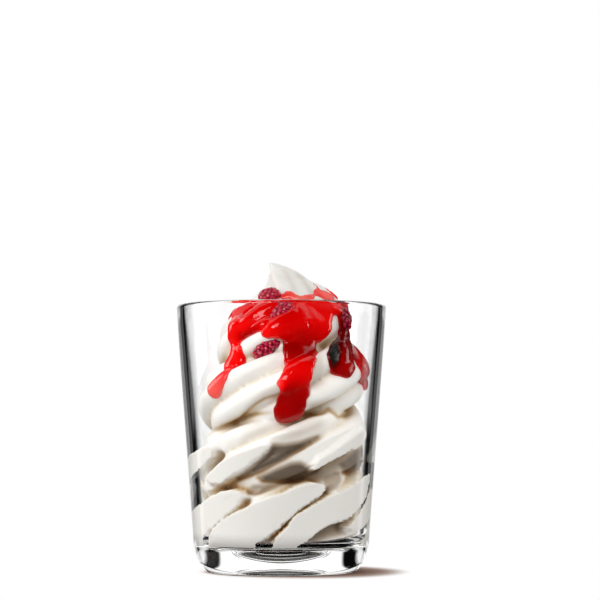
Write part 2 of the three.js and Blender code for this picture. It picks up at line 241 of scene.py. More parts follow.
# Where the folds are pressed flat on the glass: outlines in azimuth and height
PRESSED_FOLDS = (
    ((-108, 37.3), (-88, 42.8), (-82, 44.1), (-71, 45.1), (-62, 46.5), (-54, 47.5), (-50, 47), (-49, 45.8),
     (-50, 44.3), (-52, 42.6), (-62, 39.5), (-69, 37.8), (-78, 36), (-87, 34.6), (-108, 29.3)),
    ((-58, 35.1), (-57, 36.5), (-51, 38.6), (-43, 41.6), (-31, 44.3), (-18, 46.7), (-12, 47.9), (-8, 48.2),
     (-7, 47.6), (-8, 46.4), (-11, 45.1), (-14, 43.4), (-20, 41.4), (-23, 39.8), (-35, 36.6), (-39, 34.9),
     (-43, 33.5), (-50, 33.6), (-57, 34.1)),
    ((19, 39.1), (22, 40), (26, 42.7), (34, 44.9), (43, 48.1), (52, 50.8), (63, 54.3), (67, 51.8),
     (66, 49.9), (61, 47.7), (55, 45.6), (51, 46), (44, 44), (36, 42.2), (29, 40.4), (22, 38.2)),
    ((-110, 19.3), (-86, 23.1), (-77, 24.6), (-65, 26.5), (-56, 28.6), (-48, 30.1), (-43, 31), (-35, 31.5),
     (-29, 30.9), (-26, 29.9), (-26, 28.9), (-31, 25.2), (-35, 23.4), (-44, 20.5), (-54, 17.1), (-59, 16),
     (-64, 14.1), (-68, 12.5), (-70, 11), (-72, 9), (-110, 9)),
    ((-68, 9), (-60, 12.9), (-56, 15.7), (-52, 17.5), (-46, 19.6), (-40, 21.4), (-33, 23.3), (-25, 24.9),
     (-19, 26.8), (-12, 28.3), (-6, 29.6), (2, 30.7), (8, 32.6), (14, 33.5), (19, 34.3), (22, 34.1),
     (28, 33.3), (31, 32.2), (30, 30.9), (25, 28.2), (16, 25.6), (11, 23.6), (8, 21.9), (1, 18.9),
     (-2, 17.2), (-7, 15.4), (-11, 13.7), (-16, 12.3), (-24, 9)),
    ((-10, 9), (-6, 12.1), (-4, 14.2), (-1, 15.9), (4, 18.2), (8, 21.6), (11, 22.9), (16, 24.2), (21, 25.9),
     (29, 28.4), (34, 29.5), (42, 30.5), (50, 32.3), (57, 33.7), (65, 35.9), (75, 37.2), (78, 37),
     (78, 33.9), (75, 31.2), (73, 28.1), (66, 25.4), (61, 23.4), (55, 21.5), (49, 20.1), (43, 19.6),
     (35, 18.7), (26, 16.3), (19, 13.1), (6, 9)),
    ((53, 16.8), (56, 15.9), (62, 16.3), (69, 16.5), (73, 17.4), (81, 19.2), (100, 23.3), (100, 32.3),
     (81, 30.7), (76, 29.4), (73, 26.7), (65, 23.4), (61, 21.4), (58, 20.1), (54, 18.5)),
)
# How deep and how far down the ice cream draws back under each of them
UNDERCUTS = ((2.0, 6.0), (1.0, 6.0), (2.4, 8.0), (2.0, 5.0), (2.8, 5.0), (3.0, 8.0), (1.0, 5.0))
UNDERCUT_UP_TO, UNDERCUT_ENDS = 50, 70  # azimuths over which the undercuts run out
UNDERCUT_FADE, UNDERCUT_ROUNDS = 0.6, 10  # the share of that depth over which it ends, and its softness
EDGE_WIDTH = 0.8  # the undercuts and creases start this far outside a pressed fold
# The teeth of the torn edges: how many to the millimetre, and how deep against each other
TEETH = ((1.1, 1.0), (2.3, 0.6))
TOOTH_DEPTH, TORN_DEPTH = 0.1, 0.55  # anywhere along an edge, and more where it is torn
FOLD_SLOPE, CLEAR_OF_WALL = 0.7, 1.4  # a fold's edge leaves the wall at this slope, up to this far
PRESS_REACH = 8.0  # ice cream nearer to the wall than this is pressed out to it
FACES_OUT, WELL_INSIDE = 0.05, 0.5  # where it faces the wall this much, or lies this deep in a fold
FREE_ABOVE = 96.0  # no wall holds it above this height
# How far outside its outline a fold still matters: degrees round, millimetres below and above
NEAR_ROUND, NEAR_BELOW, NEAR_ABOVE = 16, 13, 2
FAR_OUTSIDE = -9.0
AXIS_CLEAR = 0.1  # nothing nearer to the axis than this is told apart
# Folds round the back: which of those above is repeated, and how far round and up
BACK_FOLDS = ((1, 138, 7), (1, 196, 2), (1, 252, -2), (4, 135, 0), (4, 190, 0), (4, 246, 0))
# Creases along the front, where one fold runs under the next, pressed in a little and darkened with
# painted shade: lines across and up in the upright plane through the axis, carried on to the ice cream
# along sight lines from straight in front
CREASES = (
    ((-15.6, 34.5), (-11.1, 36), (-7.3, 37.5), (-3.5, 39.8), (1.4, 42.1), (4.4, 44.3), (8.2, 46.6),
     (11.9, 48.9), (14.6, 50.7)),
    ((-8.8, 35.3), (-7.3, 33.8), (-4.3, 33.4), (-0.5, 33.4), (4, 34.1), (8.2, 34.9), (11.9, 36),
     (14.6, 37.5)),
    ((22.5, 37.2), (26.6, 37.5), (30.4, 38.7)),
    ((-11.8, 30), (-9.9, 29.2), (-7.3, 30), (-3.5, 31.5), (1.4, 33)),
    ((0.6, 66.6), (-1.6, 65.8), (-5.8, 64.7), (-8.8, 62.8), (-11.1, 60.9), (-12.9, 59), (-14.5, 57.1),
     (-17.5, 55.6), (-21.2, 54.1), (-25, 52.6), (-27.7, 50.7)),
    ((-14.5, 57.1), (-11.8, 58.3), (-9.6, 59), (-5, 59.4), (-1.3, 59.4)),
    ((8.2, 58.7), (11.6, 59), (14.6, 59.4), (17.2, 60.9), (19.5, 59.4), (21, 57.9), (24, 58.7),
     (28.5, 59.8)),
)
CREASE_WIDTH, CREASE_DEPTH, CREASE_END = 0.8, 0.5, 8.0  # each runs out over its last part
# Painted shade in the hollows they lie in: how dark, over how far that sets in, and an outline as above
PAINTED_SHADE_HOLLOWS = (
    (1, 2.6, ((-18.6, 32.6), (-15.6, 36.8), (-11.1, 40.6), (-7.3, 44.3), (-4.3, 48.9), (1, 48.9), (7, 50),
     (13.8, 52.2), (15.3, 50), (12.3, 47.7), (8.2, 45.1), (4.8, 42.8), (1.8, 40.6), (-3.1, 38.3),
     (-7.3, 36.4), (-11.1, 34.9), (-15.6, 33))),
    (0.32, 4, ((-5, 49.2), (-0.5, 52.2), (5.5, 55.3), (13.8, 58.3), (18.3, 56.8), (15.3, 52.2), (7, 48.5),
     (1, 47))),
    (0.95, 2.2, ((-9.6, 36), (-5, 38.3), (-0.5, 40.2), (3.3, 41.7), (7, 42.1), (10.8, 40.2), (15.3, 40.9),
     (16.1, 36.8), (11.9, 34.5), (8.2, 33.4), (4, 32.6), (-0.5, 32.3), (-4.3, 32.3), (-7.3, 32.6))),
    (0.85, 2, ((10.8, 35.7), (15.3, 40.2), (22.1, 43.2), (26.6, 47), (32.7, 49.2), (32.7, 37.9),
     (26.6, 36.8), (22.1, 36.8), (19.8, 38.7), (16.5, 37.9))),
    (0.5, 1.5, ((13.8, 36.4), (19.5, 39.4), (22.1, 37.9), (22.5, 34.1), (20.6, 30.8), (16.8, 28.1),
     (14.6, 31.5))),
    (0.6, 2, ((-14.5, 30.4), (-10.3, 33.4), (-4.3, 33.4), (3.3, 33.8), (-1.6, 30.4), (-7.3, 28.1),
     (-12.6, 27.4))),
    (0.36, 4, ((-16.3, 57.5), (-13.3, 63.2), (-7.3, 68.8), (1.8, 72.6), (1.8, 65.8), (-5, 64.3),
     (-10.3, 60.9), (-13.3, 57.5))),
    (0.22, 4, ((-16.3, 49.2), (-13.3, 53.8), (-7.3, 56.8), (4, 57.5), (-0.5, 53), (-8, 49.2),
     (-14.8, 46.2))),
    (0.3, 2.5, ((8.2, 59), (8.9, 64.3), (13.8, 65.1), (18.3, 65.8), (22.9, 65.1), (18.3, 62.4), (15.3, 59.4),
     (11.6, 58.3))),
    (0.24, 3, ((9.3, 83.2), (16.1, 82.4), (17.6, 77.1), (16.8, 69.6), (13.1, 67.3), (9.3, 67.3))),
    (0.14, 4, ((-17.1, 68.8), (-15.6, 74.1), (-9.6, 78.6), (-0.5, 82.4), (1, 77.9), (-7.3, 73.4),
     (-14.1, 68.8))),
    (0.5, 1.2, ((-5, 9.3), (0.6, 18.3), (7, 24), (13.8, 27), (16.5, 25.5), (9.7, 21), (4.4, 16.4),
     (-1.3, 8.9))),
    (0.16, 1.5, ((0.6, 114.8), (3.3, 111.8), (5.9, 107.3), (6.7, 103.5), (4.4, 103.5), (2.5, 108),
     (-0.1, 113.3))),
    (0.2, 1.5, ((5.9, 112.9), (9.7, 109.9), (12.3, 105.8), (13.1, 102.8), (10.8, 102.8), (8.5, 106.9),
     (4.8, 111.8))),
    (0.12, 1.5, ((-3.9, 114.1), (-2.4, 110.3), (-1.6, 105.8), (-3.5, 105), (-4.7, 109.5))),
)
SIGHT_DISTANCE, SIGHT_HEIGHT = 823.0, 53.0
FACING_FADE = 0.3  # both fade over this much of a turn away from the front
# Colours: the cream's own, with painted shade as a groove deepens; painted shade as a crevice closes and in
# the hollows; then the creases' painted shade
CREAM_AND_GROOVE_SHADE = ((0.12, (0.86, 0.84, 0.8)), (0.4, (0.78, 0.7, 0.56)), (0.75, (0.55, 0.33, 0.12)))
PAINTED_CREVICE_SHADE = (
    (0.15, (0.66, 0.5, 0.32)), (0.45, (0.8, 0.72, 0.62)), (0.7, (0.94, 0.91, 0.86)), (0.92, (1, 1, 1)),
)
PAINTED_HOLLOW_SHADE = ((0, (1, 1, 1)), (0.4, (0.52, 0.44, 0.36)), (0.9, (0.15, 0.11, 0.078)))
PAINTED_CREASE_SHADE = (0.62, 0.45, 0.25)
# Over how many rounds of averaging the wide and the narrow grooves are found, and how they count
WIDE_ROUNDS, NARROW_ROUNDS, GROOVE_ROUNDS = 30, 6, 5
WIDE_SHARE, NARROW_SHARE = 0.5, 1.2
# Painted shade under a fold is darkest where the ice cream is drawn back this deep
UNDERCUT_FULL_SHADE = 4.0  # an undercut this deep would be as dark as can be


def curve_through(rows, at):
    """A smooth row of values between rows whose first value is the place."""
    last = len(rows) - 1
    upper = next((i for i in range(1, last + 1) if rows[i][0] >= at), last)
    before, a = rows[max(upper - 2, 0)], rows[upper - 1]
    b, after = rows[upper], rows[min(upper + 1, last)]
    span = b[0] - a[0]
    t = (at - a[0]) / span
    values = []
    for p0, p1, p2, p3 in zip(before[1:], a[1:], b[1:], after[1:]):
        slope_in = (p2 - p0) * span / (b[0] - before[0])
        slope_out = (p3 - p1) * span / (after[0] - a[0])
        if upper == 1:
            slope_in = p2 - p1
        if upper == last:
            slope_out = p2 - p1
        values.append(
            (2 * t**3 - 3 * t**2 + 1) * p1
            + (t**3 - 2 * t**2 + t) * slope_in
            + (-2 * t**3 + 3 * t**2) * p2
            + (t**3 - t**2) * slope_out
        )
    return values


def rope_stations():
    """Middle, radius, rib turn, rib depth, height against width and the section's two directions."""
    stations = []
    azimuth = ROPE_START
    while azimuth <= TURNS[-1][0]:
        coil, rope, z, lay = curve_through(TURNS, azimuth)
        turn = math.radians(azimuth)
        out = Vector((math.sin(turn), -math.cos(turn), 0))
        along = Vector((math.cos(turn), math.sin(turn), 0))
        middle = Vector((coil * out.x, coil * out.y, z))
        stations.append((middle, rope, azimuth + lay, RIB_DEPTH, ROPE_TALL, out, along))
        azimuth += ROPE_STEP
    middle, rope, ribs, _, _, out, along = stations[-1]
    rows = [(0, *middle, rope)] + [(i + 1, *row) for i, row in enumerate(TAIL)]
    steps = TAIL_STEPS * len(TAIL)
    for step in range(1, steps + 1):
        place = len(TAIL) * step / steps
        x, y, z, rope = curve_through(rows, place)
        here = Vector((x, y, z))
        heading = (here - stations[-1][0]).normalized()
        out = (out - heading * out.dot(heading)).normalized()
        ribs += TAIL_RIBS_TURN * len(TAIL) / steps
        tall = 1 + (ROPE_TALL - 1) * max(0, 1 - place / TAIL_ROUND_BY)
        stations.append((here, rope, ribs, TAIL_RIB_DEPTH, tall, out, heading))
    return stations


def peak_stations():
    stations = []
    steps = PEAK_STEPS * (len(PEAK) - 1)
    rows = [(index, *row) for index, row in enumerate(PEAK)]
    right, up = Vector((1, 0, 0)), Vector((0, 0, 1))
    for step in range(steps + 1):
        z, radius, lean, flutes = curve_through(rows, (len(PEAK) - 1) * step / steps)
        stations.append((Vector((lean, 0, z)), radius, flutes, FLUTE_DEPTH, 1, right, up))
    return stations


def add_rope(body, stations):
    columns, rows = ROPE_SIDES, len(stations) - 1
    rope = bmesh.ops.create_grid(body, x_segments=columns, y_segments=rows, size=1)["verts"]
    for vert in rope:
        side = (vert.co.x + 1) / 2
        row = round((vert.co.y + 1) / 2 * rows)
        middle, radius, ribs, depth, tall, out, heading = stations[row]
        angle = math.tau * side
        wave = abs(math.cos((angle - math.radians(ribs)) * ROPE_RIBS / 2)) ** RIB_ROUNDNESS
        reach = radius * (1 - depth * (1 - wave))
        up = out.cross(heading)
        point = middle + (out * math.cos(angle) + up * tall * math.sin(angle)) * reach
        point.z = max(point.z, FLOOR_Z - 1)
        vert.co = point * MM
    bmesh.ops.remove_doubles(body, verts=rope, dist=1e-7)
    bmesh.ops.holes_fill(body, edges=[edge for edge in body.edges if edge.is_boundary], sides=0)
    bmesh.ops.recalc_face_normals(body, faces=body.faces)


def remeshed(body, voxel):
    """One closed skin round all the bodies of a bmesh."""
    mesh = bpy.data.meshes.new("raw")
    body.to_mesh(mesh)
    body.free()
    raw = bpy.data.objects.new("raw", mesh)
    bpy.context.scene.collection.objects.link(raw)
    remesh = raw.modifiers.new("skin", "REMESH")
    remesh.mode = "VOXEL"
    remesh.voxel_size = voxel * MM
    remesh.adaptivity = 0
    skin = bpy.data.meshes.new_from_object(raw.evaluated_get(bpy.context.evaluated_depsgraph_get()))
    bpy.data.objects.remove(raw)
    bpy.data.meshes.remove(mesh)
    out = bmesh.new()
    out.from_mesh(skin)
    bpy.data.meshes.remove(skin)
    return out


def soften(body, rounds):
    for _ in range(rounds):
        bmesh.ops.smooth_vert(
            body, verts=body.verts, factor=0.5, use_axis_x=True, use_axis_y=True, use_axis_z=True
        )


def swirl_body():
    """The rope, its tail and peak, and what fills the coil, in one skin."""
    body = bmesh.new()
    add_rope(body, rope_stations())
    add_rope(body, peak_stations())
    turn = math.radians(SAG_AZIMUTH)
    sagged = bmesh.ops.create_icosphere(body, subdivisions=4, radius=SAG_RADIUS * MM)["verts"]
    aside = (SAG_OUT * math.sin(turn) * MM, -SAG_OUT * math.cos(turn) * MM, SAG_HEIGHT * MM)
    bmesh.ops.translate(body, verts=sagged, vec=aside)
    core = bmesh.ops.create_cone(
        body,
        cap_ends=True,
        segments=CORE_SIDES,
        radius1=CORE_RADIUS * MM,
        radius2=CORE_RADIUS * CORE_TAPER * MM,
        depth=(CORE_TOP - FLOOR_Z + 1) * MM,
    )["verts"]
    bmesh.ops.translate(body, verts=core, vec=(0, 0, (CORE_TOP + FLOOR_Z - 1) / 2 * MM))
    body = remeshed(body, ICE_VOXEL)
    soften(body, 2)
    return body


def mesh_arrays(body):
    """Positions and edge ends of a bmesh as arrays."""
    body.verts.index_update()
    places = np.array([vert.co for vert in body.verts])
    ends = np.array([(edge.verts[0].index, edge.verts[1].index) for edge in body.edges])
    return places, ends


def normals_of(body):
    body.normal_update()
    return np.array([vert.normal for vert in body.verts])


def move_to(body, places):
    for vert, place in zip(body.verts, places):
        vert.co = place


def averaged(values, ends, rounds):
    """Values evened out between neighbouring points, some rounds over."""
    columns = values.reshape(len(values), -1).T
    count = np.bincount(ends.ravel(), minlength=len(values))
    for _ in range(rounds):
        evened = []
        for column in columns:
            total = np.bincount(ends[:, 0], column[ends[:, 1]], len(column))
            total += np.bincount(ends[:, 1], column[ends[:, 0]], len(column))
            evened.append(0.5 * column + 0.5 * total / count)
        columns = evened
    return np.stack(columns, axis=1).reshape(values.shape)


def hollowness(places, normals, ends, rounds):
    """How far in millimetres each place lies below the average of those around it."""
    return np.einsum("ij,ij->i", averaged(places, ends, rounds) - places, normals) / MM


def away_from(across, height, x0, z0, x1, z1):
    """Distance of each place from the straight line between two points."""
    length = max(math.hypot(x1 - x0, z1 - z0), 1e-6)
    along = np.clip(((across - x0) * (x1 - x0) + (height - z0) * (z1 - z0)) / length**2, 0, 1)
    return np.hypot(across - x0 - along * (x1 - x0), height - z0 - along * (z1 - z0))


def depth_in_outline(across, height, corners):
    """How deep each place is inside an outline, negative outside, and whether its edge is a torn one.

    The torn edges are the lower ones, along which the outline runs back to the left."""
    inside = np.zeros(len(across), dtype=bool)
    nearest = np.full(len(across), 1e9)
    torn = np.zeros(len(across))
    for (x0, z0), (x1, z1) in zip(corners, np.roll(corners, -1, axis=0)):
        crosses = (z0 > height) != (z1 > height)
        with np.errstate(divide="ignore", invalid="ignore"):
            inside ^= crosses & (across < x0 + (height - z0) * (x1 - x0) / (z1 - z0))
        away = away_from(across, height, x0, z0, x1, z1)
        torn = np.where(away < nearest, float(x1 < x0), torn)
        nearest = np.minimum(nearest, away)
    return np.where(inside, nearest, -nearest), torn


def fold_depths(azimuth, z, ragged):
    """How deep each place lies in a pressed fold, and how far it is drawn back under one."""
    fold = np.full(len(z), FAR_OUTSIDE)
    undercut = np.zeros(len(z))
    outlines = list(zip(PRESSED_FOLDS, UNDERCUTS))
    for which, turn, lift in BACK_FOLDS:
        outlines.append(([(a + turn, h + lift) for a, h in PRESSED_FOLDS[which]], UNDERCUTS[which]))
    for outline, (drawn_back, reach) in outlines:
        sides, heights = zip(*outline)
        corners = np.array(outline, dtype=float) * (math.radians(BORE_RADIUS), 1)
        for lap in (-360, 0, 360):
            turned = azimuth + lap
            near = (turned > min(sides) - NEAR_ROUND) & (turned < max(sides) + NEAR_ROUND)
            near &= (z > min(heights) - NEAR_BELOW) & (z < max(heights) + NEAR_ABOVE)
            depth, torn = depth_in_outline(np.radians(turned[near]) * BORE_RADIUS, z[near], corners)
            edge = depth - ragged[near] * (TOOTH_DEPTH + TORN_DEPTH * torn)
            fold[near] = np.maximum(fold[near], edge)
            below = np.maximum(-depth, 0)
            cut = drawn_back * np.clip(below / EDGE_WIDTH, 0, 1)
            cut *= np.clip((reach - below) / (UNDERCUT_FADE * reach), 0, 1)
            undercut[near] = np.maximum(undercut[near], cut * torn)
    return fold, undercut


def press_against_glass(places, normals, ends):
    """Presses the folds flat on the glass and keeps the rest off it.

    Returns the new places, how far each is drawn back, and how free it is of the pressed folds."""
    x, y, z = places.T / MM
    radius = np.hypot(x, y)
    z = np.maximum(z, FLOOR_Z + UNDERSIDE_LIFT)
    azimuth = np.degrees(np.arctan2(x, -y))
    limit = bore_radius(z)
    ragged = np.array([
        sum(depth * noise.noise(Vector(place) / MM * pitch) for pitch, depth in TEETH) for place in places
    ])
    fold, undercut = fold_depths(azimuth, z, ragged)
    outward = (normals[:, 0] * x + normals[:, 1] * y) / np.maximum(radius, AXIS_CLEAR)
    pushed = (fold > 0) & (radius > limit - PRESS_REACH)
    pushed &= (outward > FACES_OUT) | (fold > WELL_INSIDE)
    fading = UNDERCUT_ENDS - UNDERCUT_UP_TO
    in_front = np.clip((UNDERCUT_ENDS - np.abs(azimuth)) / fading, 0, 1)
    undercut = averaged(undercut * in_front, ends, UNDERCUT_ROUNDS)
    off_wall = np.clip(fold * FOLD_SLOPE, -CLEAR_OF_WALL, INTO_WALL)
    cap = limit + off_wall - np.where(fold < 0, undercut, 0)
    cap = np.where(z > FREE_ABOVE, radius + 1, cap)
    scale = np.where(pushed, cap, np.minimum(radius, cap)) / np.maximum(radius, AXIS_CLEAR)
    return np.stack([x * scale, y * scale, z], axis=1) * MM, undercut, np.clip(-fold / EDGE_WIDTH, 0, 1)


def creased(places, normals):
    """How near each place is to the middle of a crease at the front, and how much painted shade its hollow
    gets.
    """
    x, y, z = places.T / MM
    nearer = SIGHT_DISTANCE / (SIGHT_DISTANCE + y)
    across, height = x * nearer, SIGHT_HEIGHT + (z - SIGHT_HEIGHT) * nearer
    faces_front = np.clip((FACING_FADE - normals[:, 1]) / FACING_FADE, 0, 1) * (y < 0)
    crease = np.zeros(len(x))
    for line in CREASES:
        away = np.min([away_from(across, height, *start, *end) for start, end in zip(line, line[1:])], axis=0)
        running_out = np.clip(np.hypot(across - line[-1][0], height - line[-1][1]) / CREASE_END, 0, 1)
        crease = np.maximum(crease, np.exp(-((away / CREASE_WIDTH) ** 2)) * running_out)
    painted_shade = np.zeros(len(x))
    for strength, fade, outline in PAINTED_SHADE_HOLLOWS:
        depth, _ = depth_in_outline(across, height, np.array(outline))
        painted_shade = np.maximum(painted_shade, strength * np.clip(depth / fade, 0, 1))
    return crease * faces_front, painted_shade * faces_front


def attribute(tree, name):
    return add_node(tree, "Attribute", attribute_name=name).outputs["Fac"]


def mixed(tree, share, first, second, blend="MIX"):
    """A colour between two, or the first multiplied by the second."""
    inputs = {"Factor": share, "A": first, "B": second}
    return add_node(tree, "Mix", inputs, data_type="RGBA", blend_type=blend).outputs["Result"]


def ramped(tree, value, stops):
    """The colour that a value has along a row of places, each with its colour."""
    ramp = add_node(tree, "ValToRGB", {"Fac": value})
    colours = ramp.color_ramp.elements
    for end in (0, -1):
        colours[end].position, colours[end].color = stops[end][0], (*stops[end][1], 1)
    for position, colour in stops[1:-1]:
        colours.new(position).color = (*colour, 1)
    return ramp.outputs["Color"]


def soft_serve():
    """Cream white, with painted shade in its grooves, crevices and hollows and brown painted shade along its
    creases, and a fine grain of ice.
    """
    material, tree, shader = new_material("soft_serve", {
        "Roughness": 0.42,
        "Subsurface Weight": 0.25,
        "Subsurface Radius": (1.0, 0.8, 0.6),
        "Subsurface Scale": 0.002,
    })
    # Painted shade: darker and warmer where the ice cream's own surface closes round a crevice
    crevice = add_node(tree, "AmbientOcclusion", {"Distance": 0.006}, only_local=True, samples=12)
    colour = ramped(tree, attribute(tree, "groove"), CREAM_AND_GROOVE_SHADE)
    colour = mixed(tree, 1, colour, ramped(tree, crevice.outputs["AO"], PAINTED_CREVICE_SHADE), "MULTIPLY")
    # Painted shade in the hollows
    colour = mixed(tree, 1, colour, ramped(tree, attribute(tree, "painted_shade"), PAINTED_HOLLOW_SHADE), "MULTIPLY")
    # Painted shade along the creases
    colour = mixed(tree, attribute(tree, "crease"), colour, PAINTED_CREASE_SHADE, "MULTIPLY")
    feed(tree, shader.inputs["Base Color"], colour)
    place = add_node(tree, "TexCoord").outputs["Object"]
    grain = add_node(tree, "TexNoise", {"Vector": place, "Scale": 900, "Detail": 3}).outputs["Fac"]
    bump = add_node(tree, "Bump", {"Height": grain, "Strength": 0.12, "Distance": 0.0004})
    feed(tree, shader.inputs["Normal"], bump.outputs["Normal"])
    return material


def add_values(piece, name, values):
    layer = piece.data.attributes.new(name, "FLOAT", "POINT")
    layer.data.foreach_set("value", np.asarray(values, dtype=np.float32))


ice = swirl_body()
places, ends = mesh_arrays(ice)
places, _, _ = press_against_glass(places, normals_of(ice), ends)
move_to(ice, places)
soften(ice, 1)
places, ends = mesh_arrays(ice)
places, drawn_back, free = press_against_glass(places, normals_of(ice), ends)
move_to(ice, places)
normals = normals_of(ice)
crease, painted_shade = creased(places, normals)
crease, painted_shade = crease * free, averaged(painted_shade, ends, 3) * free
places -= normals * (crease * CREASE_DEPTH * MM)[:, None]
move_to(ice, places)
normals = normals_of(ice)
# How deep each place lies in a groove, which the material darkens with painted shade
groove = WIDE_SHARE * hollowness(places, normals, ends, WIDE_ROUNDS)
groove += NARROW_SHARE * hollowness(places, normals, ends, NARROW_ROUNDS)

ice_tree = BVHTree.FromBMesh(ice)
swirl = finished("swirl", ice, soft_serve())
add_values(swirl, "groove", averaged(np.clip(groove, 0, 1), ends, GROOVE_ROUNDS))
# Painted shade under the folds where the ice cream is drawn back, and in the hollows at the front
add_values(swirl, "painted_shade", np.maximum(np.clip(drawn_back * free / UNDERCUT_FULL_SHADE, 0, 1), painted_shade))
add_values(swirl, "crease", crease)
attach(swirl, "root")
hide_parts("ice_cream")
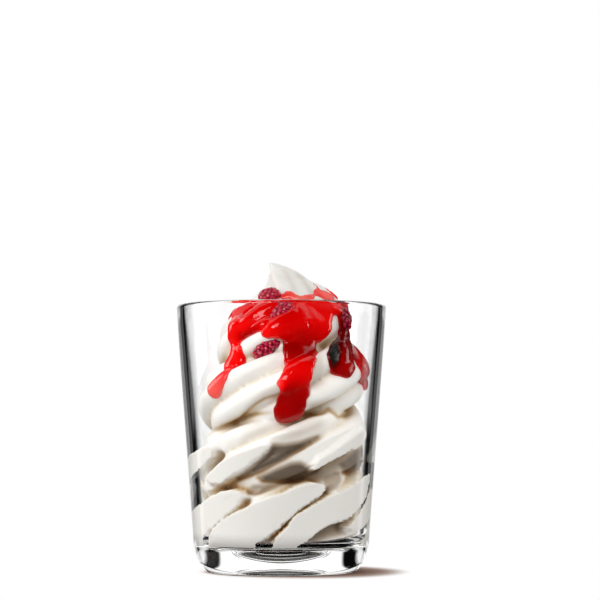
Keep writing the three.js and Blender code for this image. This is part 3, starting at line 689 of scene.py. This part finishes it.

# ---- The berry sauce ----
# Thick glossy sauce poured over the top: a pool caught on the last turns of the rope, runs that
# creep down over the folds and end in round drops, and a thin film that drained off the peak.

# Along each stream: x, y, z, half width, how thick it lies and how deep its red is, which also holds painted
# shade in the recess at the left and in the run and hollow at the right
STREAMS = (
    ((-6, -19, 97.2, 2.2, 1.5, 0.42), (-9.3, -12.3, 96.7, 2.6, 1.6, 0.42),
     (-12.7, -11.5, 95.6, 3, 1.8, 0.42), (-15.7, -10, 93.8, 3.4, 2, 0.36), (-16.9, -15.8, 90.7, 3.5, 2, 0.4),
     (-16.9, -15.3, 86.7, 3, 1.6, 0.4), (-16.8, -15, 82.7, 2.8, 1.5, 0.38),
     (-16.7, -15.8, 80.1, 3.3, 1.5, 0.38), (-17.9, -16.1, 77.2, 3.6, 1.5, 0.4),
     (-20.4, -21.2, 73.1, 3.1, 1.3, 0.28), (-22.8, -20.7, 69.2, 3.2, 1.3, 0.18),
     (-23.9, -19.5, 67.2, 3.5, 1.5, 0.15)),
    ((-15, -18.1, 82.6, 1.5, 1.2, 0.4), (-14.4, -17.7, 79.7, 2.1, 1.4, 0.44),
     (-14.6, -17.7, 77.9, 2.4, 1.5, 0.5)),
    ((-4.1, -19.4, 97.2, 2.2, 1.6, 0.42), (-7, -19.8, 95.3, 3.3, 1.7, 0.42),
     (-10.3, -19.4, 93.2, 3.5, 1.7, 0.44), (-12.8, -18.6, 91.4, 3.3, 1.6, 0.4),
     (-14.7, -17.5, 89.6, 2.2, 1.5, 0.38)),
    # A run in the recess under the left stream: its deep red is painted shade
    ((-14, -16.7, 87, 1.7, 1.3, 0.66), (-11.8, -18.1, 88.5, 2, 1.8, 0.7),
     (-9.2, -19.7, 89.5, 2.2, 2.2, 0.64), (-7, -20.5, 90.6, 2.6, 2.4, 0.5),
     (-4.8, -21.2, 91.6, 2.6, 2.2, 0.45)),
    ((-5.5, -23.7, 88.3, 2, 1.3, 0.36), (-2.3, -24.2, 89.7, 3.8, 1.9, 0.45),
     (1.3, -23.5, 91.2, 5.7, 2.1, 0.5), (5.7, -21.2, 92.4, 6.8, 2.1, 0.48), (9.7, -17.9, 93.2, 6.8, 2, 0.43),
     (13.4, -14.7, 94.1, 5.6, 1.8, 0.4), (16.4, -12.8, 94.5, 3.3, 1.6, 0.4)),
    ((-7, -19.6, 95.7, 2.9, 1.6, 0.42), (-2.3, -19.4, 97.2, 2.6, 1.7, 0.42),
     (3.1, -18.1, 97.2, 2.6, 1.7, 0.38), (8.6, -16.7, 97.3, 3, 1.7, 0.34), (13.4, -14.6, 97.4, 3, 1.7, 0.34),
     (17.9, -12.4, 97.5, 3, 1.7, 0.36), (21, -8.4, 96.5, 2.6, 1.8, 0.5)),
    ((1.7, -22, 87.2, 2.2, 1.7, 0.52), (6, -20.1, 88, 4.4, 1.8, 0.6), (10.4, -18.3, 88.5, 4.6, 1.8, 0.6),
     (14.1, -16.1, 89.3, 4.1, 1.6, 0.5), (16.3, -14.3, 91.2, 3, 1.5, 0.46)),
    ((6.7, -20.2, 85.5, 6.8, 1.9, 0.66), (6.9, -22.1, 82.2, 7, 1.8, 0.72), (7, -23.2, 79.6, 6.8, 1.8, 0.7),
     (6.4, -27.7, 77, 5.7, 1.8, 0.54), (6, -29.8, 74.8, 5.7, 1.9, 0.48), (5.3, -30.5, 71.9, 5.9, 1.9, 0.5),
     (4.8, -29.8, 69, 6, 2, 0.62), (4.5, -27.8, 66.5, 5.7, 2, 0.66), (3.9, -28.1, 65, 5, 2, 0.7),
     (3.4, -28.6, 62.5, 5.5, 2.1, 0.7), (2.9, -28.1, 59.9, 5.8, 2.3, 0.66),
     (2.8, -26.2, 58, 5.1, 2.3, 0.66)),
    ((2.3, -31, 71.8, 2.2, 0.7, 0.26), (0.2, -31.2, 70.4, 1.8, 0.6, 0.2),
     (-0.8, -31.3, 69.7, 1.3, 0.5, 0.16)),
    # The dark run at the right: its deep red is thick sauce and painted shade
    ((21.4, -7.8, 96.5, 2.6, 1.8, 0.78), (22.3, -7.6, 93.6, 2.9, 2, 0.8), (22.6, -5.6, 89.9, 3, 2.2, 0.82),
     (22.7, -5.9, 86.2, 3.4, 2.4, 0.82), (22.5, -14.9, 82.4, 3.8, 2.8, 0.8),
     (22.2, -16.6, 79.4, 4.1, 2.9, 0.76), (21.4, -18.4, 76.5, 4.7, 2.8, 0.72),
     (20.7, -21, 74.2, 4.4, 2.6, 0.7)),
    # A near-black streak laid in the shadowed hollow beside it: painted shade
    ((19.6, -13.8, 84.9, 1.5, 1.2, 1), (18.7, -19.8, 82.3, 2.2, 1.4, 1), (18.2, -22.4, 79.7, 2.4, 1.4, 1),
     (18, -23.1, 77.5, 2.2, 1.4, 0.98)),
    ((26.8, -3.5, 83, 1.7, 1.4, 0.6), (27.9, -9.1, 80.3, 2.8, 1.6, 0.62), (29, -12, 77.4, 3.3, 1.9, 0.64),
     (29.5, -11, 74.1, 3.2, 2, 0.66), (30.9, -2.9, 71.1, 2.8, 1.9, 0.64),
     (30.5, -4.9, 69.6, 2.3, 1.8, 0.64)),
    ((1, -13, 102.3, 1.7, 0.55, 0.3), (2.8, -13.6, 103.2, 1.9, 0.55, 0.26), (5, -14.7, 102.2, 1.9, 0.5, 0.2),
     (8, -15.3, 101.8, 1.5, 0.4, 0.08), (11, -14.3, 102.3, 1.9, 0.5, 0.16)),
    ((13.7, -10.4, 104, 2.2, 0.5, 0.14), (16.3, -9.5, 103.3, 2.6, 0.5, 0.18),
     (18.9, -7.6, 102.3, 2.2, 0.6, 0.26)),
    ((12.2, -6.8, 107.6, 0.6, 0.5, 0.25), (13.7, -9.1, 106, 0.7, 0.6, 0.32),
     (13.7, -10.3, 104.4, 0.8, 0.6, 0.36), (11.8, -13.1, 102.9, 0.9, 0.6, 0.36),
     (9.5, -14.9, 102.2, 0.7, 0.5, 0.3)),
    ((16.8, 0.8, 106.5, 0.6, 0.8, 0.4), (18.4, -4.1, 104.5, 0.8, 0.9, 0.44),
     (20.5, -4.1, 102.5, 1, 1, 0.44)),
    ((21.8, -7.2, 96.5, 3.4, 1.7, 0.5), (22.5, 2, 95.5, 4.2, 1.7, 0.5), (18.5, 11, 95.5, 4.5, 1.7, 0.5),
     (9, 18.5, 95.5, 4.5, 1.7, 0.48), (-2, 19.5, 95.5, 4.5, 1.7, 0.48), (-12, 13, 95.5, 4.5, 1.7, 0.45),
     (-16.5, 3, 94.5, 4, 1.7, 0.45), (-15.5, -6, 93, 3, 1.6, 0.42)),
    ((19, 15.5, 93, 4.2, 1.8, 0.5), (19.5, 17, 88, 3.4, 1.8, 0.55), (20, 18, 83, 3.2, 1.9, 0.58),
     (21, 19.5, 79, 3.6, 2.1, 0.58)),
    ((0, 21, 93, 5.4, 1.9, 0.5), (-1, 22.5, 88, 4.6, 1.8, 0.55), (-2, 24, 82, 4.2, 1.8, 0.55),
     (-3, 27, 76, 4.2, 1.9, 0.5), (-4, 30, 70, 4.4, 2, 0.55), (-4, 29.5, 66.5, 4.8, 2.3, 0.6)),
    ((-17, 8, 93, 4.2, 1.6, 0.45), (-18.5, 9.5, 88, 3.4, 1.6, 0.45), (-20, 10.5, 83, 3.2, 1.7, 0.42),
     (-21.5, 11.5, 79.5, 3.6, 2, 0.4)),
)
BED_ROUNDS = 30  # how far the sauce smooths over the grooves it lies on
DROP_RADIUS, DROP_SPACING = 2.6, 1.1
DROP_RISE, DROP_THIN = 0.15, 0.35  # how far drops stand off the bed, and lie thinner at the sides
THIN_BELOW, THIN_FADE = 0.8, 0.6  # where it is thinner than this many millimetres it looks paler
SAUCE_VOXEL = 0.4
NEAR_DROPS = 6  # how many drops together give a place its red
# The sauce's colour by how deep its red is; the darkest end is painted shade
SAUCE_REDS_AND_SHADE = (
    (0, (0.95, 0.3, 0.2)), (0.12, (0.93, 0.13, 0.1)), (0.25, (0.92, 0.04, 0.04)),
    (0.38, (0.88, 0.002, 0.002)), (0.5, (0.68, 0, 0)), (0.62, (0.42, 0, 0)), (0.75, (0.22, 0, 0)),
    (0.88, (0.08, 0, 0)), (1, (0.008, 0.012, 0.01)),
)


def lookup_of(points):
    """What finds the points nearest to a place."""
    lookup = kdtree.KDTree(len(points))
    for index, point in enumerate(points):
        lookup.insert(point, index)
    lookup.balance()
    return lookup


bed_places = averaged(places, ends, BED_ROUNDS)
bed_normals = averaged(normals, ends, BED_ROUNDS)
bed_normals /= np.linalg.norm(bed_normals, axis=1)[:, None]
bed = lookup_of(bed_places)


def on_the_bed(point):
    """The place on the smoothed ice cream nearest to a point, and which way it faces."""
    _, index, _ = bed.find(point)
    return Vector(bed_places[index]), Vector(bed_normals[index])


def scaled_columns(matrix, sizes):
    for column, size in enumerate(sizes):
        for row in range(3):
            matrix[row][column] *= size
    return matrix


def add_drop(body, place, facing, radius, thick):
    """A flat round drop of sauce lying on the ice cream."""
    shape = facing.to_track_quat("Z", "Y").to_matrix().to_4x4()
    shape.translation = place + facing * DROP_RISE * thick * MM
    scaled_columns(shape, (radius, radius, thick))
    bmesh.ops.create_icosphere(body, subdivisions=2, radius=MM, matrix=shape)


def pour(rows):
    """Drops laid side by side all along a stream, and the place and depth of red of each."""
    body, reds = bmesh.new(), []
    stations = [(index, *row) for index, row in enumerate(rows)]
    length = sum((Vector(a[:3]) - Vector(b[:3])).length for a, b in zip(rows, rows[1:]))
    steps = max(2, round(length / DROP_SPACING))
    before = None
    for step in range(steps + 1):
        x, y, z, half, thick, red = curve_through(stations, (len(rows) - 1) * step / steps)
        place, facing = on_the_bed(Vector((x, y, z)) * MM)
        moved = before and (place - before).length > 0
        along = (place - before).normalized() if moved else Vector((1, 0, 0))
        before = place
        across = facing.cross(along).normalized()
        radius = min(half, DROP_RADIUS)
        spread = half - radius
        count = math.ceil(2 * spread / DROP_SPACING) + 1
        for number in range(count):
            offset = 0 if count == 1 else spread * (2 * number / (count - 1) - 1)
            here, outward = on_the_bed(place + across * offset * MM)
            add_drop(body, here, outward, radius, thick * (1 - DROP_THIN * (offset / half) ** 2))
            reds.append((here, red))
    return body, reds


def joined(bodies):
    whole = bmesh.new()
    for body in bodies:
        mesh = bpy.data.meshes.new("part")
        body.to_mesh(mesh)
        body.free()
        whole.from_mesh(mesh)
        bpy.data.meshes.remove(mesh)
    return whole


def red_over(body, drops):
    """How deep the red is all over the sauce: that of the drops nearby, paler where it lies thin."""
    drop_places = lookup_of([place for place, _ in drops])
    reds, thin = [], []
    for vert in body.verts:
        found = drop_places.find_n(vert.co, NEAR_DROPS)
        near = [(drops[index][1], 1 / (away / MM + 0.3) ** 2) for _, index, away in found]
        reds.append(sum(red * weight for red, weight in near) / sum(weight for _, weight in near))
        thin.append(min(1, ice_tree.find_nearest(vert.co)[3] / MM / THIN_BELOW))
    _, sauce_ends = mesh_arrays(body)
    return averaged(np.array(reds) * (THIN_FADE + (1 - THIN_FADE) * np.array(thin)), sauce_ends, 6)


def berry_sauce():
    """Wet, and from pale red where it is thin to deep red where it is thick; nearly black and less shiny
    where painted shade is laid.
    """
    material, tree, shader = new_material("berry_sauce", {
        "Roughness": 0.07,
        "Subsurface Weight": 0.1,
        "Subsurface Radius": (1.0, 0.1, 0.05),
        "Subsurface Scale": 0.0015,
    })
    red = attribute(tree, "red")
    feed(tree, shader.inputs["Base Color"], ramped(tree, red, SAUCE_REDS_AND_SHADE))
    shine = {"Value": red, "From Min": 0.85, "From Max": 0.97, "To Min": 0.5, "To Max": 0.08}
    shine = add_node(tree, "MapRange", shine).outputs["Result"]
    feed(tree, shader.inputs["Specular IOR Level"], shine)
    return material


streams, reds = zip(*(pour(rows) for rows in STREAMS))
poured = remeshed(joined(streams), SAUCE_VOXEL)
soften(poured, 8)
red = red_over(poured, [drop for stream in reds for drop in stream])
sauce = finished("berry_sauce", poured, berry_sauce())
add_values(sauce, "red", red)
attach(sauce, "root")
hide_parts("sauce")

# ---- The raspberries ----
# Pieces of raspberry carried in the sauce: many small round drupelets packed round a soft core,
# wet and crimson with painted shade between them, each with its pale seeds showing through here
# and there, whose flecks also serve as painted pink highlights.

# Place of the middle, direction of the long axis, length and width, and how much darker it is made all over
RASPBERRIES = (
    ((-4.4, -12.6, 102.6), (1.0, 0.1, 0.12), 9.0, 6.8, 0.0),
    ((0.0, -20.6, 95.4), (0.82, 0.15, 0.57), 10.0, 5.8, 0.0),
    ((-5.4, -21.6, 82.8), (0.79, 0.1, 0.61), 12.0, 6.2, 0.3),
    ((23.4, -7.6, 93.8), (0.35, -0.35, -0.85), 7.6, 5.6, 0.6),
)
DRUPELET_RADIUS, DRUPELET_PITCH = 0.9, 1.42
DRUPELET_WANDER, DRUPELET_SPREAD = 0.16, 0.45  # how uneven they are in place and in size
DRUPELET_SEED = 3  # the same unevenness each time
SKIN_SHARE = 0.85  # of the surface of a drum of the same length and width
SEED_EVERY, SEED_SIZE = 3, 0.42
SEED_SHOWS, SEED_BLUR = 0.7, 1.4  # how plainly a seed shows, and out to how many of its sizes
# Painted shade in the gaps between drupelets
GAP_DEPTH, GAP_ROUNDS = 0.2, 12  # gaps between drupelets are darkest this deep
BERRY_VOXEL = 0.17
GOLDEN_TURN = math.pi * (3 - math.sqrt(5))
# Colours on the drupelets, and of the painted shade between them
BERRY_REDS_AND_GAP_SHADE = ((0.25, (0.6, 0.006, 0.045)), (0.8, (0.09, 0.0, 0.01)))  # on the drupelets and between
# Colour of the seed flecks, which also serve as painted pink highlights
SEED_AND_HIGHLIGHT_COLOUR = (0.85, 0.3, 0.26)


def raspberry_body(middle, axis, length, width):
    """Drupelets set in a spiral round an egg-shaped core, in one skin, and where its seeds show."""
    body = bmesh.new()
    lie = Vector(axis).to_track_quat("X", "Z").to_matrix().to_4x4()
    lie.translation = Vector(middle) * MM
    core_half = Vector((length / 2, width / 2, width / 2)) - Vector((1, 1, 1)) * DRUPELET_RADIUS
    shape = scaled_columns(lie.copy(), core_half)
    bmesh.ops.create_icosphere(body, subdivisions=3, radius=MM, matrix=shape)
    count = round(math.pi * length * width * SKIN_SHARE / DRUPELET_PITCH**2)
    seeds = []
    for number in range(count):
        level = 1 - 2 * (number + 0.5) / count
        turn = number * GOLDEN_TURN
        ring = math.sqrt(1 - level * level)
        spot = Vector((level, ring * math.cos(turn), ring * math.sin(turn)))
        wander = noise.noise_vector(spot * 4.3 + Vector(middle))
        at = Vector((spot[i] + DRUPELET_WANDER * wander[i]) * core_half[i] for i in range(3)) * MM
        size = DRUPELET_RADIUS * (1 + DRUPELET_SPREAD * wander.x)
        bead = lie @ at
        if number % SEED_EVERY == 0:
            seeds.append(bead + (bead - lie.translation).normalized() * size * MM)
        ball = bmesh.ops.create_icosphere(body, subdivisions=2, radius=size * MM)["verts"]
        bmesh.ops.translate(body, verts=ball, vec=bead)
    return remeshed(body, BERRY_VOXEL), seeds


def berry_flesh():
    material, tree, shader = new_material("berry_flesh", {
        "Roughness": 0.2, "Specular IOR Level": 0.35, "Coat Weight": 0.2, "Coat Roughness": 0.05,
    })
    flesh = ramped(tree, attribute(tree, "gap"), BERRY_REDS_AND_GAP_SHADE)
    flecked = mixed(tree, attribute(tree, "seed"), flesh, SEED_AND_HIGHLIGHT_COLOUR)
    feed(tree, shader.inputs["Base Color"], flecked)
    return material


noise.seed_set(DRUPELET_SEED)
raspberry_skin = berry_flesh()
for number, (middle, axis, length, width, darkened) in enumerate(RASPBERRIES, 1):
    body, seeds = raspberry_body(middle, axis, length, width)
    spots, spot_ends = mesh_arrays(body)
    dip = hollowness(spots, normals_of(body), spot_ends, GAP_ROUNDS)
    raspberry = finished(f"raspberry_{number}", body, raspberry_skin)
    # Painted shade in the gaps between drupelets, and darker all over by how much it is darkened
    add_values(raspberry, "gap", np.clip(0.5 + dip / GAP_DEPTH + 0.5 * darkened, 0, 1))
    from_seed = np.min([np.linalg.norm(spots - np.array(seed), axis=1) for seed in seeds], axis=0) / MM
    fleck = np.clip(SEED_BLUR - from_seed / SEED_SIZE, 0, 1)
    # Seed flecks, partly painted pink highlights
    add_values(raspberry, "seed", SEED_SHOWS * (1 - darkened) * fleck)
    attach(raspberry, "root")
    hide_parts(f"berry_{number}")

# ---- The camera and the lamps ----
# A level camera a little way off, one soft lamp high on the left in front, and one at each side.
CAMERA_DISTANCE, CAMERA_HEIGHT = 823.0, 53.0
AIM = Vector((7.03, 0, 102.0))
FRAME_WIDTH = 226.2  # what the picture takes in across, at the axis of the glass
SENSOR = 36.0
LAMP_AIM = Vector((0, 0, 0.06))

camera_data = bpy.data.cameras.new("camera")
camera_data.sensor_width = SENSOR
camera_data.lens = SENSOR * CAMERA_DISTANCE / FRAME_WIDTH
camera_data.clip_start = 0.01
camera = bpy.data.objects.new("camera", camera_data)
camera.location = Vector((0, -CAMERA_DISTANCE, CAMERA_HEIGHT)) * MM
camera.rotation_euler = (AIM * MM - camera.location).to_track_quat("-Z", "Y").to_euler()
bpy.context.scene.collection.objects.link(camera)
bpy.context.scene.camera = camera


def softbox(name, azimuth, height, distance, width, tall, watts):
    lamp = bpy.data.lights.new(name, "AREA")
    lamp.shape = "RECTANGLE"
    lamp.size, lamp.size_y = width, tall
    lamp.energy = watts
    stand = bpy.data.objects.new(name, lamp)
    turn = math.radians(azimuth)
    stand.location = (distance * math.sin(turn), -distance * math.cos(turn), height)
    stand.rotation_euler = (LAMP_AIM - stand.location).to_track_quat("-Z", "Y").to_euler()
    bpy.context.scene.collection.objects.link(stand)
    return stand


softbox("key_lamp", -24, 0.4, 0.6, 0.34, 0.3, 1.7)
softbox("left_lamp", -100, 0.3, 0.8, 0.3, 0.6, 2.0)
right_lamp = softbox("right_lamp", 95, 0.3, 0.8, 0.3, 0.6, 1.8)
right_lamp.visible_glossy = False  # it would veil the dark sauce at the right

# ---- The room ----
# Plain white as a background and through the glass; as soft light it comes from the upper left and
# is dim and warm below; mirrored in the glass it is dark but for a strip straight behind.
BEHIND_GLASS = 1.17
SKY_TOWARD = (-0.2, -0.6, 0.77)
SKY_LOW, SKY_HIGH = (0.4, 0.38, 0.35), (0.58, 0.58, 0.58)
# How bright what is mirrored is, from straight behind (0) to straight in front (1)
MIRRORED_BY_WALL = (
    (0, 0.48), (0.11, 0.48), (0.118, 0.12), (0.174, 0.12), (0.182, 0.003), (0.25, 0.003), (0.28, 1),
    (0.33, 1), (0.37, 0.05), (0.58, 0), (1, 0),
)
MIRRORED_LOW_DOWN = (
    (0, 0.48), (0.105, 0.48), (0.113, 0.12), (0.174, 0.12), (0.182, 0.003), (0.295, 0.003), (0.325, 1),
    (0.35, 1), (0.39, 0.05), (0.58, 0), (1, 0),
)
MIRRORED_BY_BASE = (
    (0, 1.25), (0.17, 1.25), (0.185, 0.003), (0.25, 0.003), (0.28, 1), (0.52, 1), (0.58, 0), (1, 0),
)
MIRRORED_TWICE = ((0, 1.2), (0.34, 1.2), (0.36, 0.01), (1, 0.01))
MIRRORED_OFTEN = 0.01
MIRRORED_STEEP = 0.03  # straight up, under the ice cream, where the dimple in the floor throws it
STEEP_FROM, STEEP_TO = 0.38, 0.46
BASE_FROM, BASE_TO = 0.02, 0.05  # what comes from above these is mirrored by the base


def grey(level):
    return (level, level, level)


def stepped(tree, value, steps):
    return ramped(tree, value, [(position, grey(level)) for position, level in steps])


def eased_between(tree, value, low, high):
    inputs = {"Value": value, "From Min": low, "From Max": high}
    return add_node(tree, "MapRange", inputs, interpolation_type="SMOOTHSTEP").outputs["Result"]


def what_glass_mirrors():
    """Group: how bright what is mirrored in the glass is from a direction, after one bounce or more."""
    tree = bpy.data.node_groups.new("what_glass_mirrors", "ShaderNodeTree")
    tree.interface.new_socket("Direction", in_out="INPUT", socket_type="NodeSocketVector")
    for name in ("By the base", "Low down", "Bounces"):
        tree.interface.new_socket(name, in_out="INPUT", socket_type="NodeSocketFloat")
    tree.interface.new_socket("Level", in_out="OUTPUT", socket_type="NodeSocketColor")
    direction, by_base, low_down, bounces = list(tree.nodes.new("NodeGroupInput").outputs)[:4]
    x, y, z = add_node(tree, "SeparateXYZ", {0: direction}).outputs
    sideways = maths(tree, "ABSOLUTE", maths(tree, "ARCTAN2", x, y))
    share = maths(tree, "DIVIDE", sideways, math.pi)
    twice = maths(tree, "GREATER_THAN", bounces, 1.5)
    often = maths(tree, "GREATER_THAN", bounces, 2.5)
    high_up, lower = (stepped(tree, share, steps) for steps in (MIRRORED_BY_WALL, MIRRORED_LOW_DOWN))
    once = mixed(tree, low_down, high_up, lower)
    once = mixed(tree, by_base, once, stepped(tree, share, MIRRORED_BY_BASE))
    steep = eased_between(tree, z, STEEP_FROM, STEEP_TO)
    again = mixed(tree, steep, stepped(tree, share, MIRRORED_TWICE), grey(MIRRORED_STEEP))
    level = mixed(tree, often, mixed(tree, twice, once, again), grey(MIRRORED_OFTEN))
    feed(tree, tree.nodes.new("NodeGroupOutput").inputs[0], level)
    return tree


def mirrored_level(tree, direction, by_base, low_down, bounces):
    inputs = {0: direction, 1: by_base, 2: low_down, 3: bounces}
    return add_node(tree, "Group", inputs, node_tree=mirrors).outputs[0]


def bounces_of(tree, path):
    """How often a ray was mirrored; counted as often when that was inside, behind both wall faces."""
    inside = maths(tree, "GREATER_THAN", path["Transmission Depth"], 3.5)
    return maths(tree, "MULTIPLY_ADD", inside, 3, path["Glossy Depth"])


mirrors = what_glass_mirrors()
world = bpy.data.worlds.new("white_room")
bpy.context.scene.world = world
world.use_nodes = True
world.cycles.sampling_method = "NONE"
room = world.node_tree
ray = add_node(room, "LightPath").outputs
direction = add_node(room, "TexCoord").outputs["Generated"]
toward = add_node(room, "VectorMath", {0: direction, 1: SKY_TOWARD}, operation="DOT_PRODUCT")
high = maths(room, "MULTIPLY_ADD", toward.outputs["Value"], 0.5, 0.5)
sky = mixed(room, maths(room, "POWER", high, 2), SKY_LOW, SKY_HIGH)
climb = add_node(room, "SeparateXYZ", {0: direction}).outputs[2]
climb = eased_between(room, climb, BASE_FROM, BASE_TO)
level = mirrored_level(room, direction, climb, 0, bounces_of(room, ray))
mirrored = maths(room, "MINIMUM", ray["Glossy Depth"], 1)
unlit = mixed(room, ray["Is Diffuse Ray"], mixed(room, mirrored, grey(BEHIND_GLASS), level), sky)
seen = mixed(room, ray["Is Camera Ray"], unlit, grey(1))
feed(room, room.nodes["Background"].inputs["Color"], seen)

# ---- The floor ----
# A sheet of white card that the glass stands on, so wide that its edge never shows.
FLOOR_RADIUS = 3.0
FLOOR_NEAR, FLOOR_FAR = 0.12, 0.16  # what the base mirrors is nearer, what the wall mirrors farther
FLOOR_LOW, FLOOR_HIGH = 0.7, 1.15
SHADE_TOWARD = (-0.8, 0, 0.6)
SHADE_REACH = 0.02
SHADE_COLOURS = ((0.1, (0.035, 0.016, 0.012)), (0.55, (0.3, 0.2, 0.16)), (0.86, (1, 1, 1)))
FLOOR_BOUNCE = 0.48


def white_floor():
    """White card that glows like the room, with a short brown shadow painted on the side away from the light.
    """
    material, tree, shader = new_material("white_floor", {})
    tree.nodes.remove(shader)
    tilt = add_node(tree, "CombineXYZ", dict(enumerate(SHADE_TOWARD))).outputs[0]
    shade = add_node(tree, "AmbientOcclusion", {"Distance": SHADE_REACH, "Normal": tilt}, samples=16)
    path = add_node(tree, "LightPath").outputs
    through = mixed(tree, path["Is Camera Ray"], grey(BEHIND_GLASS), grey(1))
    through = mixed(tree, 1, ramped(tree, shade.outputs["AO"], SHADE_COLOURS), through, "MULTIPLY")
    place = add_node(tree, "TexCoord").outputs["Object"]
    reach = add_node(tree, "VectorMath", {0: place}, operation="LENGTH").outputs["Value"]
    near = maths(tree, "SUBTRACT", 1, eased_between(tree, reach, FLOOR_NEAR, FLOOR_FAR))
    low_down = maths(tree, "SUBTRACT", 1, eased_between(tree, reach, FLOOR_LOW, FLOOR_HIGH))
    x, y, _ = add_node(tree, "SeparateXYZ", {0: place}).outputs
    aside = maths(tree, "SUBTRACT", maths(tree, "ABSOLUTE", x), HEEL_RADIUS * MM)
    past_wall = add_node(tree, "CombineXYZ", {0: maths(tree, "MAXIMUM", aside, 0), 1: y}).outputs[0]
    level = mirrored_level(tree, past_wall, near, low_down, bounces_of(tree, path))
    seen = mixed(tree, maths(tree, "MINIMUM", path["Glossy Depth"], 1), through, level)
    seen = mixed(tree, path["Is Diffuse Ray"], seen, grey(FLOOR_BOUNCE))
    light = add_node(tree, "Emission", {"Color": seen})
    feed(tree, tree.nodes["Material Output"].inputs["Surface"], light.outputs[0])
    return material


floor_body = bmesh.new()
bmesh.ops.create_circle(floor_body, cap_ends=True, segments=96, radius=FLOOR_RADIUS)
floor = finished("floor", floor_body, white_floor())
floor.active_material.cycles.emission_sampling = "NONE"

scene = bpy.context.scene
scene.view_settings.view_transform = "Standard"
scene.cycles.use_denoising = True
scene.cycles.max_bounces = 16
scene.cycles.transmission_bounces = 16
scene.cycles.transparent_max_bounces = 16
